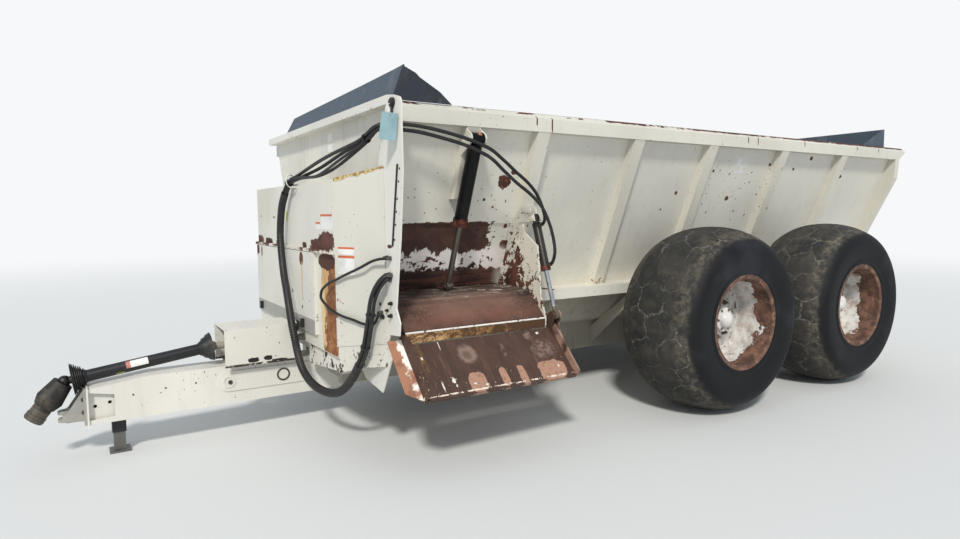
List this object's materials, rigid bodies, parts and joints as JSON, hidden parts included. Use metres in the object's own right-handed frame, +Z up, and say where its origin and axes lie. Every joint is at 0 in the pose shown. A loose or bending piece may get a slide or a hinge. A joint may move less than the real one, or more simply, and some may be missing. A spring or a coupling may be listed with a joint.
{
  "type": "towed side-discharge manure spreader",
  "caption": "Towed tandem-axle side-discharge manure spreader with hollow V tank, augers, expeller, sliding gate, folding lip, jack and drive shaft.",
  "frame": {"origin": "on the ground, below the centre of the machine's box", "axes": "+X to the rear, +Z up, -Y to the discharge side"},
  "size_m": [7.7093, 3.63, 2.3581],
  "materials": {
    "cream_paint": "weathered gloss",
    "frame_paint": "weathered gloss",
    "worn_steel": "rusty",
    "black_paint": "satin",
    "rod_chrome": "polished",
    "bare_steel": "dull",
    "tyre_rubber": "worn",
    "rim_paint": "peeling",
    "guard_plastic": "matt",
    "belt_rubber": "matt",
    "hose_rubber": "matt"
  },
  "bodies": {
    "root": {"tongue": "cream_paint", "hitch": "bare_steel", "jack_tube": "black_paint", "chassis": "frame_paint", "axle_tube": "frame_paint", "walking_beams": "frame_paint", "tank_left": "cream_paint", "tank_right": "cream_paint", "tank_front": "cream_paint", "tank_rear": "cream_paint", "tank_floor": "worn_steel", "side_rails": "frame_paint", "ribs": "frame_paint", "cylinder_ribs": "frame_paint", "sills": "frame_paint", "front_rail": "cream_paint", "enclosure": "cream_paint", "service_panel": "cream_paint", "corner_panel": "cream_paint", "bulkhead": "cream_paint", "drive_box": "frame_paint", "input_cover": "cream_paint", "tray": "worn_steel", "discharge_end": "cream_paint", "gate_cylinder": "black_paint", "shield_front": "belt_rubber", "shield_rear": "belt_rubber", "hoses_front": "hose_rubber", "hoses_side": "hose_rubber"},
    "jack": {"jack_leg": "bare_steel"},
    "wheel_front_left": {"tyre_front_left": "tyre_rubber", "rim_front_left": "rim_paint"},
    "wheel_front_right": {"tyre_front_right": "tyre_rubber", "rim_front_right": "rim_paint"},
    "wheel_rear_left": {"tyre_rear_left": "tyre_rubber", "rim_rear_left": "rim_paint"},
    "wheel_rear_right": {"tyre_rear_right": "tyre_rubber", "rim_rear_right": "rim_paint"},
    "left_auger": {"auger_left": "worn_steel"},
    "right_auger": {"auger_right": "worn_steel"},
    "expeller_rotor": {"expeller": "worn_steel"},
    "discharge_gate": {"gate": "worn_steel", "gate_rod": "rod_chrome"},
    "discharge_lip": {"lip": "worn_steel"},
    "lip_barrel": {"lip_cylinder": "black_paint"},
    "lip_ram": {"lip_rod": "rod_chrome"},
    "drive_shaft": {"shaft_guard": "guard_plastic"},
    "drive_end": {"shaft_end": "guard_plastic", "shaft_collar": "bare_steel"}
  },
  "joints": [
    {"name": "wheel_front_left_turn", "type": "hinge", "parent": "root", "child": "wheel_front_left", "pos_m": [0.56, -1.465, 0.7], "axis": [0, 1, 0], "continuous": true},
    {"name": "wheel_front_right_turn", "type": "hinge", "parent": "root", "child": "wheel_front_right", "pos_m": [0.56, 1.465, 0.7], "axis": [0, 1, 0], "continuous": true},
    {"name": "wheel_rear_left_turn", "type": "hinge", "parent": "root", "child": "wheel_rear_left", "pos_m": [2.135, -1.465, 0.7], "axis": [0, 1, 0], "continuous": true},
    {"name": "wheel_rear_right_turn", "type": "hinge", "parent": "root", "child": "wheel_rear_right", "pos_m": [2.135, 1.465, 0.7], "axis": [0, 1, 0], "continuous": true},
    {"name": "left_auger_turn", "type": "hinge", "parent": "root", "child": "left_auger", "pos_m": [0, -0.404, 0.96], "axis": [1, 0, 0], "continuous": true},
    {"name": "right_auger_turn", "type": "hinge", "parent": "root", "child": "right_auger", "pos_m": [0, 0.404, 0.96], "axis": [1, 0, 0], "continuous": true},
    {"name": "expeller_rotor_turn", "type": "hinge", "parent": "root", "child": "expeller_rotor", "pos_m": [0, -0.404, 0.96], "axis": [1, 0, 0], "continuous": true},
    {"name": "gate_slide", "type": "slide", "parent": "root", "child": "discharge_gate", "axis": [0, -0.3746, 0.9272], "range_m": [0, 0.4]},
    {"name": "lip_fold", "type": "hinge", "parent": "root", "child": "discharge_lip", "pos_m": [0, -1.28556, 0.78516], "axis": [-1, 0, 0], "range_deg": [0, 45]},
    {"name": "lip_barrel_swing", "type": "hinge", "parent": "root", "child": "lip_barrel", "pos_m": [0, -1.13475, 1.474], "axis": [-1, 0, 0], "range_deg": [-4, 0]},
    {"name": "lip_ram_slide", "type": "slide", "parent": "lip_barrel", "child": "lip_ram", "axis": [0, -0.3268, -0.9451], "range_m": [-0.055, 0]},
    {"name": "jack_slide", "type": "slide", "parent": "root", "child": "jack", "axis": [0, 0, 1], "range_m": [0, 0.1]},
    {"name": "drive_shaft_lift", "type": "hinge", "parent": "root", "child": "drive_shaft", "pos_m": [-2.79, 0, 0.612], "axis": [0, 1, 0], "range_deg": [0, 25]},
    {"name": "drive_end_bend", "type": "hinge", "parent": "drive_shaft", "child": "drive_end", "pos_m": [-3.64962, 0, 0.49249], "axis": [0, 1, 0], "range_deg": [0, 45]}
  ],
  "couplings": [
    {"joint": "lip_barrel_swing", "follows": "lip_fold", "ratio": -0.077},
    {"joint": "lip_ram_slide", "follows": "lip_fold", "m_per_rad": -0.068}
  ]
}
